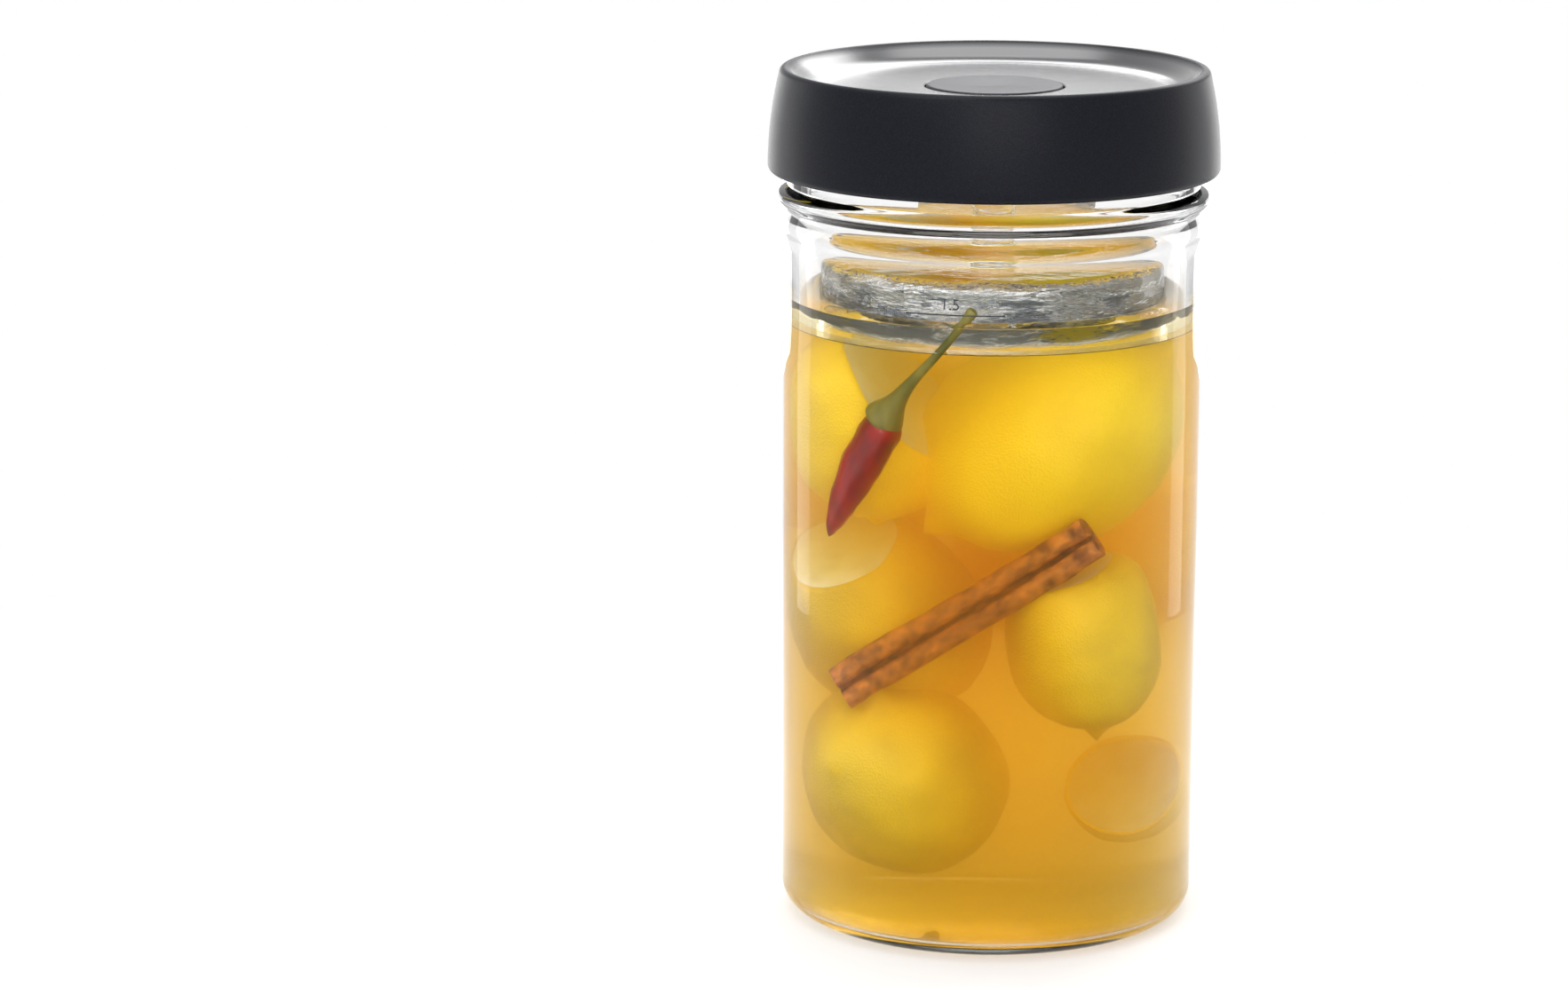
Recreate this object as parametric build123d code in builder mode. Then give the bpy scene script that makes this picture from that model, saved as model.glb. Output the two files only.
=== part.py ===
from build123d import *
from math import radians, tan
import os

# Fermentation jar with a glass weight and a vented twist-on lid.
# Millimetres, +Z up. The origin is the middle of the base, on the surface that the jar stands on.

os.makedirs("parts", exist_ok=True)

# Glass jar
jar_radius = 57.0
jar_height = 223.0
jar_wall = 3.5
floor_thickness = 3.5
base_corner_radius = 7.0
inside_corner_radius = 5.0
punt_height = 2.0
foot_width = 8.0
neck_wall = 2.5
rim_outer_edge_radius = 0.9
rim_inner_edge_radius = 0.6
press_round_radius = 0.8

# Rings pressed into the glass below the lid
bead_gap = 3.4
bead_half_height = 2.9
bead_depth = 3.4
ring_below_bead = 8.3
ring_half_height = 2.6
ring_depth = 0.5
waist_below_bead = 22.3
waist_half_height = 11.0
waist_depth = 0.35

# Bayonet lugs: lug_count on the glass neck and as many inside the lid
lug_count = 4
jar_lug_angle = 40.0
cap_lug_angle = 34.0
lug_height = 2.9
lug_depth = 2.3
lug_edge_radius = 0.7
lug_side_clearance = 0.6
lug_running_clearance = 0.5
lug_edge_distance = 1.0

# Lid cap
cap_height = 28.1
cap_wall = 2.2
skirt_wall = 2.5
skirt_edge_radius = 1.8
skirt_lean_width = 4.6
skirt_bulge_depth = 0.72
skirt_lean_angle = 13.5
rim_round_radius = 1.6
dish_slope = 38.0
dish_depth = 5.1
dish_blend_radius = 9.0
channel_round_radius = 0.8
opening_edge_radius = 0.3
collar_depth = 5.0
collar_wall = 1.6

# Lid liner
liner_thickness = 2.0
liner_edge_gap = 0.6
plug_wall = 2.0
plug_depth = 8.5
well_depth = 11.4
well_wall = 1.8
rib_count = 8
rib_thickness = 1.6
rib_height = 2.5
rib_end_gap = 0.3
snap_clearance = 0.1

# Lid gasket
gasket_thickness = 2.4
gasket_lip_thickness = 1.6
gasket_lip_depth = 3.5
gasket_overhang = 0.6
gasket_clearance = 0.2
lip_clearance = 0.3

# Push-button valve
button_radius = 18.5
button_gap = 0.5
button_stand = 0.4
button_thickness = 1.8
button_skirt_wall = 1.6
button_dish = 0.5
button_edge_radius = 0.5
button_travel = 2.5
press_clearance = 0.6
socket_wall = 1.9
stem_radius = 4.0
stem_clearance = 0.08
guide_wall = 1.9
guide_height = 4.4
seal_radius = 11.3
seal_thickness = 2.0
flange_thickness = 1.8
seat_radius = 10.0
seat_width = 0.9
seat_height = 0.8
vent_count = 6
vent_radius = 1.1
vent_circle_radius = 7.9

# Return spring
spring_radius = 10.7
spring_wire_diameter = 0.9
spring_wire_sides = 6
spring_turns = 4.5

# Umbrella valve that lets the gas out
gas_valve_offset = 14.0
gas_valve_radius = 2.4
gas_valve_height = 1.3
gas_valve_stem_radius = 0.8
gas_valve_foot_radius = 1.25
gas_valve_foot_depth = 1.6
gas_vent_count = 3
gas_vent_radius = 0.45
gas_vent_circle_radius = 1.55

# Glass weight
weight_clearance = 6.5
weight_thickness = 18.1
weight_edge_radius = 4.0
weight_below_rim = 39.3
knob_radius = 6.1
knob_height = 17.0
knob_waist = 0.5
knob_dome_radius = 3.0
knob_root_radius = 2.5

# Radii that follow from the sizes above
bore_radius = jar_radius - jar_wall
neck_radius = bore_radius + neck_wall
bead_radius = neck_radius + bead_depth
lug_radius = neck_radius + lug_depth
skirt_bore = lug_radius + lug_side_clearance
cap_radius = skirt_bore + skirt_wall
crest_radius = cap_radius - skirt_lean_width
cap_lug_bore = neck_radius + lug_side_clearance
opening_radius = button_radius + button_gap
collar_radius = opening_radius + collar_wall
well_radius = collar_radius + snap_clearance
lip_radius = bore_radius - lip_clearance
gasket_bore = lip_radius - gasket_lip_thickness
gasket_radius = neck_radius + gasket_overhang
plug_radius = gasket_bore - gasket_clearance
weight_radius = bore_radius - weight_clearance

# Heights that follow from the sizes above
gasket_top = jar_height + gasket_thickness
liner_top = gasket_top + liner_thickness
cap_flat = liner_top + cap_wall
crest_height = cap_flat + dish_depth
cap_bottom = crest_height - cap_height
well_floor = liner_top - well_depth
well_underside = well_floor - liner_thickness
seat_face = well_underside - seat_height
seal_bottom = seat_face - seal_thickness
button_top = cap_flat + button_stand
button_underside = button_top - button_thickness
button_bottom = well_floor + gas_valve_height + button_travel + press_clearance
socket_bottom = well_floor + guide_height + button_travel + press_clearance
cap_lug_top = cap_bottom + lug_edge_distance + lug_height
jar_lug_bottom = cap_lug_top + lug_running_clearance
weight_top = jar_height - weight_below_rim


def radial_plane(angle):
    """Return the upright plane through the axis, with its X pointing out at this angle."""
    outward = Vector(1, 0, 0).rotate(Axis.Z, angle)
    normal = Vector(0, -1, 0).rotate(Axis.Z, angle)
    return Plane(origin=(0, 0, 0), x_dir=outward, z_dir=normal)


def corner(radius, height):
    """Return the corner of the section being drawn that lies nearest to this point."""
    return vertices().sort_by_distance((radius, height))[0]


def save(piece, label):
    """Name a finished piece and write its file."""
    piece.part.label = label
    export_step(piece.part, f"parts/{label}.step")


# One lug of the neck, rooted inside the glass, centred on +X
with BuildPart() as jar_lug:
    with BuildSketch(radial_plane(-jar_lug_angle / 2)):
        with BuildLine():
            Polyline(
                (neck_radius - neck_wall / 2, jar_lug_bottom),
                (lug_radius, jar_lug_bottom),
                (lug_radius, jar_lug_bottom + lug_height),
                (neck_radius - neck_wall / 2, jar_lug_bottom + lug_height),
                close=True,
            )
        make_face()
        fillet(vertices().group_by(Axis.X)[-1], lug_edge_radius)
    revolve(axis=Axis.Z, revolution_arc=jar_lug_angle)

# Glass jar: one turned section, then the lugs of the neck
bead_height = cap_bottom - bead_gap - bead_half_height
ring_height = bead_height - ring_below_bead
waist_height = bead_height - waist_below_bead
foot_inner = jar_radius - base_corner_radius - foot_width
with BuildPart() as glass_jar:
    with BuildSketch(Plane.XZ):
        with BuildLine():
            TangentArc((0, punt_height), (foot_inner, 0), tangent=(1, 0))
            Line((foot_inner, 0), (jar_radius - base_corner_radius, 0))
            TangentArc(
                (jar_radius - base_corner_radius, 0), (jar_radius, base_corner_radius), tangent=(1, 0)
            )
            Line((jar_radius, base_corner_radius), (jar_radius, waist_height - waist_half_height))
            ThreePointArc(
                (jar_radius, waist_height - waist_half_height),
                (jar_radius - waist_depth, waist_height),
                (jar_radius, waist_height + waist_half_height),
            )
            Line(
                (jar_radius, waist_height + waist_half_height),
                (jar_radius, ring_height - ring_half_height),
            )
            ThreePointArc(
                (jar_radius, ring_height - ring_half_height),
                (jar_radius + ring_depth, ring_height),
                (jar_radius, ring_height + ring_half_height),
            )
            Line(
                (jar_radius, ring_height + ring_half_height),
                (jar_radius, bead_height - bead_half_height),
            )
            ThreePointArc(
                (jar_radius, bead_height - bead_half_height),
                (bead_radius, bead_height),
                (neck_radius, bead_height + bead_half_height),
            )
            Polyline(
                (neck_radius, bead_height + bead_half_height),
                (neck_radius, jar_height),
                (bore_radius, jar_height),
                (bore_radius, floor_thickness + inside_corner_radius),
            )
            TangentArc(
                (bore_radius, floor_thickness + inside_corner_radius),
                (bore_radius - inside_corner_radius, floor_thickness),
                tangent=(0, -1),
            )
            TangentArc(
                (0, floor_thickness + punt_height),
                (bore_radius - inside_corner_radius, floor_thickness),
                tangent=(1, 0),
            )
            Line((0, floor_thickness + punt_height), (0, punt_height))
        make_face()
        fillet(corner(neck_radius, jar_height), rim_outer_edge_radius)
        fillet(corner(bore_radius, jar_height), rim_inner_edge_radius)
        fillet(corner(jar_radius, bead_height - bead_half_height), press_round_radius)
        fillet(corner(neck_radius, bead_height + bead_half_height), press_round_radius)
    revolve(axis=Axis.Z)
    with PolarLocations(0, lug_count):
        add(jar_lug.part)
save(glass_jar, "glass_jar")

# Glass weight: a pressed disc and its knob, one piece of glass
knob_top = weight_top + knob_height
with BuildPart() as glass_weight:
    with BuildSketch(Plane.XZ):
        with BuildLine():
            Polyline(
                (0, weight_top - weight_thickness),
                (weight_radius, weight_top - weight_thickness),
                (weight_radius, weight_top),
                (knob_radius, weight_top),
            )
            ThreePointArc(
                (knob_radius, weight_top),
                (knob_radius - knob_waist, weight_top + knob_height / 2),
                (knob_radius, knob_top),
            )
            Polyline(
                (knob_radius, knob_top), (0, knob_top), (0, weight_top - weight_thickness)
            )
        make_face()
        fillet(vertices().group_by(Axis.X)[-1], weight_edge_radius)
        fillet(corner(knob_radius, weight_top), knob_root_radius)
        fillet(corner(knob_radius, knob_top), knob_dome_radius)
    revolve(axis=Axis.Z)
save(glass_weight, "glass_weight")

# One lug of the lid, rooted in the skirt and centred between two lugs of the neck
with BuildPart() as cap_lug:
    with BuildSketch(radial_plane(180 / lug_count - cap_lug_angle / 2)):
        with BuildLine():
            Polyline(
                (cap_lug_bore, cap_lug_top - lug_height),
                (skirt_bore + skirt_wall / 2, cap_lug_top - lug_height),
                (skirt_bore + skirt_wall / 2, cap_lug_top),
                (cap_lug_bore, cap_lug_top),
                close=True,
            )
        make_face()
        fillet(vertices().group_by(Axis.X)[0], lug_edge_radius)
    revolve(axis=Axis.Z, revolution_arc=cap_lug_angle)

# Lid cap: rounded rim and dish outside, the same wall inside, and the collar round the button
crest_centre = Vector(crest_radius, crest_height - rim_round_radius)
slope_angle = 90 + dish_slope
skirt_top = crest_centre + Vector(rim_round_radius, 0).rotate(Axis.Z, skirt_lean_angle)
slope_top = crest_centre + Vector(rim_round_radius, 0).rotate(Axis.Z, slope_angle)
slope_foot = Vector(slope_top.X - (slope_top.Y - cap_flat) / tan(radians(dish_slope)), cap_flat)
roof_foot = Vector(slope_foot.X + cap_wall * tan(radians(dish_slope / 2)), liner_top)
channel_radius = skirt_top.X - cap_wall
channel_peak = Vector(
    channel_radius, liner_top + (channel_radius - roof_foot.X) * tan(radians(dish_slope))
)
with BuildPart() as lid_cap:
    with BuildSketch(Plane.XZ):
        with BuildLine():
            Line(
                (skirt_bore, cap_bottom), (cap_radius - skirt_edge_radius, cap_bottom)
            )
            TangentArc(
                (cap_radius - skirt_edge_radius, cap_bottom),
                (cap_radius, cap_bottom + skirt_edge_radius),
                tangent=(1, 0),
            )
            SagittaArc((cap_radius, cap_bottom + skirt_edge_radius), skirt_top, -skirt_bulge_depth)
            CenterArc(
                crest_centre, rim_round_radius, skirt_lean_angle, slope_angle - skirt_lean_angle
            )
            Polyline(
                slope_top,
                slope_foot,
                (opening_radius, cap_flat),
                (opening_radius, liner_top - collar_depth),
                (collar_radius, liner_top - collar_depth),
                (collar_radius, liner_top),
                roof_foot,
                channel_peak,
            )
            SagittaArc(channel_peak, (skirt_bore, cap_lug_top), skirt_bulge_depth)
            Line((skirt_bore, cap_lug_top), (skirt_bore, cap_bottom))
        make_face()
        fillet(corner(slope_foot.X, slope_foot.Y), dish_blend_radius)
        fillet(corner(channel_peak.X, channel_peak.Y), channel_round_radius)
        fillet(corner(opening_radius, cap_flat), opening_edge_radius)
    revolve(axis=Axis.Z)
    with PolarLocations(0, lug_count):
        add(cap_lug.part)
save(lid_cap, "lid_cap")

# Lid liner: plate under the cap, plug that centres the lid in the mouth, and ribs that stiffen both
liner_radius = channel_radius - liner_edge_gap
well_outer = well_radius + well_wall
rib_start = well_outer + rib_end_gap
rib_end = plug_radius - plug_wall / 2
with BuildPart() as lid_liner:
    with BuildSketch(Plane.XZ):
        with BuildLine():
            Polyline(
                (well_radius, gasket_top),
                (plug_radius - plug_wall, gasket_top),
                (plug_radius - plug_wall, gasket_top - plug_depth),
                (plug_radius, gasket_top - plug_depth),
                (plug_radius, gasket_top),
                (liner_radius, gasket_top),
                (liner_radius, liner_top),
                (well_radius, liner_top),
                close=True,
            )
        make_face()
    revolve(axis=Axis.Z)
    with BuildSketch(Plane.XY.offset(gasket_top)):
        with PolarLocations((rib_start + rib_end) / 2, rib_count, start_angle=180 / rib_count):
            Rectangle(rib_end - rib_start, rib_thickness)
    extrude(amount=-rib_height)
save(lid_liner, "lid_liner")

# Valve well: cup welded under the liner's plate, with the stem's guide, the seat and the vents
guide_bore = stem_radius + stem_clearance
guide_radius = guide_bore + guide_wall
seat_inner = seat_radius - seat_width / 2
with BuildPart() as valve_well:
    with BuildSketch(Plane.XZ):
        with BuildLine():
            Polyline(
                (guide_bore, well_underside),
                (seat_inner, well_underside),
                (seat_inner, seat_face),
                (seat_inner + seat_width, seat_face),
                (seat_inner + seat_width, well_underside),
                (well_outer, well_underside),
                (well_outer, gasket_top),
                (well_radius, gasket_top),
                (well_radius, well_floor),
                (guide_radius, well_floor),
                (guide_radius, well_floor + guide_height),
                (guide_bore, well_floor + guide_height),
                close=True,
            )
        make_face()
    revolve(axis=Axis.Z)
    with BuildSketch(Plane.XY.offset(well_floor)):
        with PolarLocations(vent_circle_radius, vent_count):
            Circle(vent_radius)
        with Locations((gas_valve_offset, 0)):
            Circle(gas_valve_stem_radius + snap_clearance)
            with PolarLocations(gas_vent_circle_radius, gas_vent_count):
                Circle(gas_vent_radius)
    extrude(amount=-liner_thickness, mode=Mode.SUBTRACT)
save(valve_well, "valve_well")

# Lid gasket: flange on the glass rim, lip down inside the mouth
with BuildPart() as lid_gasket:
    with BuildSketch(Plane.XZ):
        with BuildLine():
            Polyline(
                (gasket_bore, gasket_top),
                (gasket_radius, gasket_top),
                (gasket_radius, jar_height),
                (lip_radius, jar_height),
                (lip_radius, jar_height - gasket_lip_depth),
                (gasket_bore, jar_height - gasket_lip_depth),
                close=True,
            )
        make_face()
    revolve(axis=Axis.Z)
save(lid_gasket, "lid_gasket")

# Push button: dished top, skirt and the socket that takes the stem
with BuildPart() as valve_button:
    with BuildSketch(Plane.XZ):
        with BuildLine():
            Polyline(
                (0, button_underside),
                (stem_radius, button_underside),
                (stem_radius, socket_bottom),
                (stem_radius + socket_wall, socket_bottom),
                (stem_radius + socket_wall, button_underside),
                (button_radius - button_skirt_wall, button_underside),
                (button_radius - button_skirt_wall, button_bottom),
                (button_radius, button_bottom),
                (button_radius, button_top),
            )
            TangentArc((0, button_top - button_dish), (button_radius, button_top), tangent=(1, 0))
            Line((0, button_top - button_dish), (0, button_underside))
        make_face()
        fillet(corner(button_radius, button_top), button_edge_radius)
    revolve(axis=Axis.Z)
save(valve_button, "valve_button")

# Stem: the pin in the guide and the flange that carries the seal
with BuildPart() as valve_stem:
    with BuildSketch(Plane.XY.offset(seal_bottom - flange_thickness)):
        Circle(seal_radius)
    extrude(amount=flange_thickness)
    with BuildSketch(Plane.XY.offset(seal_bottom)):
        Circle(stem_radius)
    extrude(amount=button_underside - seal_bottom)
save(valve_stem, "valve_stem")

# Seal disc on the flange, shut against the seat at rest
with BuildPart() as valve_seal:
    with BuildSketch(Plane.XY.offset(seal_bottom)):
        Circle(seal_radius)
        Circle(stem_radius, mode=Mode.SUBTRACT)
    extrude(amount=seal_thickness)
save(valve_seal, "valve_seal")

# Return spring between the floor of the well and the underside of the button
spring_height = button_underside - well_floor - spring_wire_diameter
with BuildPart() as valve_spring:
    with BuildLine():
        coil = Helix(
            pitch=spring_height / spring_turns,
            height=spring_height,
            radius=spring_radius,
            center=(0, 0, well_floor + spring_wire_diameter / 2),
        )
    with BuildSketch(Plane(origin=coil @ 0, z_dir=coil % 0)):
        RegularPolygon(spring_wire_diameter / 2, spring_wire_sides)
    sweep(is_frenet=True)
save(valve_spring, "valve_spring")

# Umbrella valve: cap over the vents, stem through the floor of the well, foot below it
gas_valve_bottom = well_underside - gas_valve_foot_depth
gas_valve_axis = Axis((gas_valve_offset, 0, 0), (0, 0, 1))
with BuildPart() as gas_valve:
    with BuildSketch(Plane(origin=(gas_valve_offset, 0, 0), x_dir=(1, 0, 0), z_dir=(0, -1, 0))):
        with BuildLine():
            Line((0, well_floor + gas_valve_height), (0, gas_valve_bottom))
            Polyline(
                (0, gas_valve_bottom),
                (gas_valve_stem_radius, gas_valve_bottom),
                (gas_valve_foot_radius, well_underside),
                (gas_valve_stem_radius, well_underside),
                (gas_valve_stem_radius, well_floor),
                (gas_valve_radius, well_floor),
            )
            TangentArc(
                (0, well_floor + gas_valve_height), (gas_valve_radius, well_floor), tangent=(1, 0)
            )
        make_face()
    revolve(axis=gas_valve_axis)
save(gas_valve, "gas_valve")
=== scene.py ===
import logging
import math
from dataclasses import dataclass
from enum import Enum
from typing import Sequence

import bpy
from mathutils import Euler, Matrix, Vector


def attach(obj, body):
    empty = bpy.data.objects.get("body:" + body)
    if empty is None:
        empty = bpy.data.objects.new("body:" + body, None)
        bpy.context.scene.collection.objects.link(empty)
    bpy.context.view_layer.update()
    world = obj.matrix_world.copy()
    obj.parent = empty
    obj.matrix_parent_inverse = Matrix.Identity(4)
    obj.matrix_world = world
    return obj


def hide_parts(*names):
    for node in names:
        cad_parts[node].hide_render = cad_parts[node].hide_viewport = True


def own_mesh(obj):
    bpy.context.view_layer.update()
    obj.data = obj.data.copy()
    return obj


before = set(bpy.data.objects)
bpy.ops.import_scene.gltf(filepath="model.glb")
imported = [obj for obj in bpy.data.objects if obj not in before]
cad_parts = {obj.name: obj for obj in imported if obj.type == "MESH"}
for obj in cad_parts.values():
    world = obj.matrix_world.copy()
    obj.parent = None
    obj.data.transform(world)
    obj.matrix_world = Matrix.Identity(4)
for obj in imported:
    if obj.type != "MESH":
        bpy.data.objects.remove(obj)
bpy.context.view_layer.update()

log = logging.getLogger("fermentation_jar")
MM = 0.001
AXIS_TOLERANCE = 1e-6
CREASE = 34.0

Point = tuple[float, float]
Triple = tuple[float, float, float]
Colour = Triple


class Ripeness(Enum):
    """How ripe a lemon is, by the name of its peel's material."""

    RIPE = "lemon_peel"
    OLIVE = "lemon_peel_olive"


def scaled(points: Sequence[Point]) -> list[Point]:
    """Turn a section's millimetres into metres."""
    return [(x * MM, y * MM) for x, y in points]


def arc(centre: Point, radius: float, start: float, end: float, steps: int = 8) -> list[Point]:
    """Points of a round stretch of a section.

    Args:
        centre: the arc's centre, as radius from the axis and height.
        radius: the arc's own radius.
        start: the first angle in degrees, 0 pointing away from the axis and 90 up.
        end: the last angle in degrees.
        steps: how many chords the arc has.

    Returns:
        The points from start to end, both included.
    """
    angles = [math.radians(start + (end - start) * i / steps) for i in range(steps + 1)]
    return [(centre[0] + radius * math.cos(a), centre[1] + radius * math.sin(a)) for a in angles]


def bow(start: Point, end: Point, rise: float, steps: int = 10) -> list[Point]:
    """Points of a shallow arc that bulges to the right of its way by rise.

    Args:
        start: where the arc starts.
        end: where it ends.
        rise: how far its middle stands off the chord.
        steps: how many chords the arc has.

    Returns:
        The points from start to end, both included.
    """
    along = (end[0] - start[0], end[1] - start[1])
    length = math.hypot(*along)
    side = (along[1] / length, -along[0] / length)
    points = []
    for i in range(steps + 1):
        t = i / steps
        off = 4 * rise * t * (1 - t)
        points.append((start[0] + along[0] * t + side[0] * off, start[1] + along[1] * t + side[1] * off))
    return points


class Bench:
    """The modelling moves that every piece shares, each made with Blender's own operators."""

    @staticmethod
    def clear_selection() -> None:
        """Deselect everything in object mode."""
        if bpy.context.object is not None and bpy.context.object.mode != "OBJECT":
            bpy.ops.object.mode_set(mode="OBJECT")
        bpy.ops.object.select_all(action="DESELECT")

    @staticmethod
    def adopt(name: str) -> bpy.types.Object:
        """Name the object that an operator has just added.

        Args:
            name: the piece's name.

        Returns:
            The active object.
        """
        obj = bpy.context.object
        obj.name = name
        obj.data.name = name
        return obj

    @staticmethod
    def outline(name: str, points: Sequence[Vector]) -> bpy.types.Object:
        """Draw a piece that is a line of edges, and leave it selected in edit mode.

        Args:
            name: the piece's name.
            points: the line's points; a closed line repeats its first point.

        Returns:
            The piece.
        """
        Bench.clear_selection()
        bpy.ops.mesh.primitive_plane_add(size=MM, location=(0, 0, 0))
        obj = Bench.adopt(name)
        bpy.ops.object.mode_set(mode="EDIT")
        bpy.ops.mesh.select_all(action="SELECT")
        bpy.ops.mesh.merge(type="CENTER")
        bpy.ops.mesh.select_mode(type="VERT")
        bpy.ops.mesh.select_all(action="SELECT")
        bpy.ops.transform.translate(value=points[0])
        for before, after in zip(points, points[1:]):
            bpy.ops.mesh.extrude_vertices_move(TRANSFORM_OT_translate={"value": after - before})
        bpy.ops.mesh.select_all(action="SELECT")
        bpy.ops.mesh.remove_doubles(threshold=AXIS_TOLERANCE)
        bpy.ops.mesh.select_all(action="SELECT")
        return obj

    @staticmethod
    def close() -> bpy.types.Object:
        """Finish the piece that is open in edit mode: merge doubles, turn faces outwards and shade it.

        Returns:
            The piece.
        """
        bpy.ops.mesh.select_mode(type="VERT")
        bpy.ops.mesh.select_all(action="SELECT")
        bpy.ops.mesh.remove_doubles(threshold=AXIS_TOLERANCE)
        bpy.ops.mesh.normals_make_consistent(inside=False)
        bpy.ops.object.mode_set(mode="OBJECT")
        bpy.ops.object.shade_smooth_by_angle(angle=math.radians(CREASE))
        return bpy.context.object

    @staticmethod
    def turn(name: str, section: Sequence[Point], segments: int = 160) -> bpy.types.Object:
        """Turn a section about the upright axis into a closed piece.

        Args:
            name: the piece's name.
            section: the section's points as radius and height; a ring repeats its first point.
            segments: how many steps the full turn has.

        Returns:
            The turned piece.
        """
        Bench.outline(name, [Vector((max(r, 0.0), 0.0, z)) for r, z in section])
        bpy.ops.mesh.spin(steps=segments, angle=math.tau, center=(0, 0, 0), axis=(0, 0, 1))
        return Bench.close()

    @staticmethod
    def modify(obj: bpy.types.Object, kind: str, **settings: object) -> None:
        """Add one modifier to a piece and apply it.

        Args:
            obj: the piece.
            kind: the modifier's type.
            settings: the modifier's settings.
        """
        Bench.clear_selection()
        bpy.context.view_layer.objects.active = obj
        obj.select_set(True)
        bpy.ops.object.modifier_add(type=kind)
        modifier = obj.modifiers[-1]
        for key, value in settings.items():
            setattr(modifier, key, value)
        bpy.ops.object.modifier_apply(modifier=modifier.name)

    @staticmethod
    def place(obj: bpy.types.Object, location: Vector, turn: Euler | None = None) -> None:
        """Move and turn a piece, then put its place into its mesh.

        Args:
            obj: the piece.
            location: where its origin goes.
            turn: how it is turned, or nothing.
        """
        Bench.clear_selection()
        bpy.context.view_layer.objects.active = obj
        obj.select_set(True)
        obj.location = location
        if turn is not None:
            obj.rotation_euler = turn
        bpy.ops.object.transform_apply(location=True, rotation=True, scale=True)

    @staticmethod
    def clouds(obj: bpy.types.Object, size: float, strength: float, **settings: object) -> None:
        """Push a piece's surface in and out with soft noise.

        Args:
            obj: the piece.
            size: how large the noise's blobs are, in metres.
            strength: how far apart its hollows and humps lie, in metres.
            settings: more settings of the modifier.
        """
        texture = bpy.data.textures.new(obj.name, "CLOUDS")
        texture.noise_scale = size
        Bench.modify(obj, "DISPLACE", texture=texture, strength=strength, mid_level=0.5, **settings)

    @staticmethod
    def follow(obj: bpy.types.Object, points: Sequence[Triple]) -> None:
        """Lay a piece that stands along Z on a smooth curve through some points.

        Args:
            obj: the piece, its foot at the origin.
            points: the points that the curve goes through, in millimetres.
        """
        Bench.clear_selection()
        bpy.ops.curve.primitive_bezier_curve_add(radius=1.0, location=(0, 0, 0))
        path = bpy.context.object
        spline = path.data.splines[0]
        spline.bezier_points.add(len(points) - 2)
        path.data.resolution_u = 24
        for knot, point in zip(spline.bezier_points, points):
            knot.co = Vector(point) * MM
            knot.handle_left_type = knot.handle_right_type = "AUTO"
        Bench.modify(obj, "CURVE", object=path, deform_axis="POS_Z")
        Bench.clear_selection()
        path.select_set(True)
        bpy.ops.object.delete()

    @staticmethod
    def prism(name: str, outline: Sequence[Point], length: float, steps: int) -> bpy.types.Object:
        """Push a flat outline up along Z.

        Args:
            name: the piece's name.
            outline: the outline's points, without the first one again at the end.
            length: how long the piece gets.
            steps: how many stretches it is divided into.

        Returns:
            The piece.
        """
        Bench.outline(name, [Vector((x, y, 0.0)) for x, y in (*outline, outline[0])])
        bpy.ops.mesh.edge_face_add()
        for _ in range(steps):
            bpy.ops.mesh.extrude_region_move(TRANSFORM_OT_translate={"value": (0, 0, length / steps)})
        return Bench.close()


@dataclass
class LugRing:
    """Bayonet lugs, evenly spaced round the axis, the first centred first degrees from +X."""

    inner: float
    outer: float
    low: float
    high: float
    angle: float
    first: float = 0.0
    count: int = 4
    steps: int = 10

    def join(self, body: bpy.types.Object) -> None:
        """Model one lug, and join a turned copy of it to the body for each place.

        Args:
            body: the piece that carries the lugs.
        """
        start = math.radians(self.first - self.angle / 2)
        section = [(self.inner, self.low), (self.outer, self.low)]
        section += [(self.outer, self.high), (self.inner, self.high), (self.inner, self.low)]
        corners = [Vector((r * math.cos(start), r * math.sin(start), z)) for r, z in section]
        for i in range(self.count):
            Bench.outline("lug", corners)
            bpy.ops.mesh.edge_face_add()
            bpy.ops.mesh.spin(
                steps=self.steps, angle=math.radians(self.angle), center=(0, 0, 0), axis=(0, 0, 1)
            )
            lug = Bench.close()
            Bench.place(lug, Vector(), Euler((0, 0, math.tau * i / self.count)))
            Bench.modify(body, "BOOLEAN", operation="UNION", solver="EXACT", object=lug)
            bpy.data.objects.remove(lug)


class Value:
    """A shader socket that takes part in arithmetic."""

    def __init__(self, nodes: "Nodes", socket: bpy.types.NodeSocket) -> None:
        """Wrap one output socket of a node tree."""
        self.nodes = nodes
        self.socket = socket

    def _join(self, operation: str, first: object, second: object, clamp: bool = False) -> "Value":
        """Add a Math node that works on two values.

        Args:
            operation: the node's operation.
            first: its first value or number.
            second: its second value or number.
            clamp: whether the result is held between 0 and 1.

        Returns:
            The node's result.
        """
        settings = {"operation": operation, "use_clamp": clamp}
        return self.nodes.value(self.nodes.add("ShaderNodeMath", settings, {0: first, 1: second}))

    def __add__(self, other: object) -> "Value":
        """Add another value."""
        return self._join("ADD", self, other)

    __radd__ = __add__

    def __sub__(self, other: object) -> "Value":
        """Subtract another value."""
        return self._join("SUBTRACT", self, other)

    def __rsub__(self, other: object) -> "Value":
        """Subtract this from another value."""
        return self._join("SUBTRACT", other, self)

    def __mul__(self, other: object) -> "Value":
        """Multiply by another value."""
        return self._join("MULTIPLY", self, other)

    __rmul__ = __mul__

    def __truediv__(self, other: object) -> "Value":
        """Divide by another value."""
        return self._join("DIVIDE", self, other)

    def __pow__(self, other: object) -> "Value":
        """Raise to a power."""
        return self._join("POWER", self, other)

    def clamped(self) -> "Value":
        """This value held between 0 and 1."""
        return self._join("ADD", self, 0.0, clamp=True)


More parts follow.
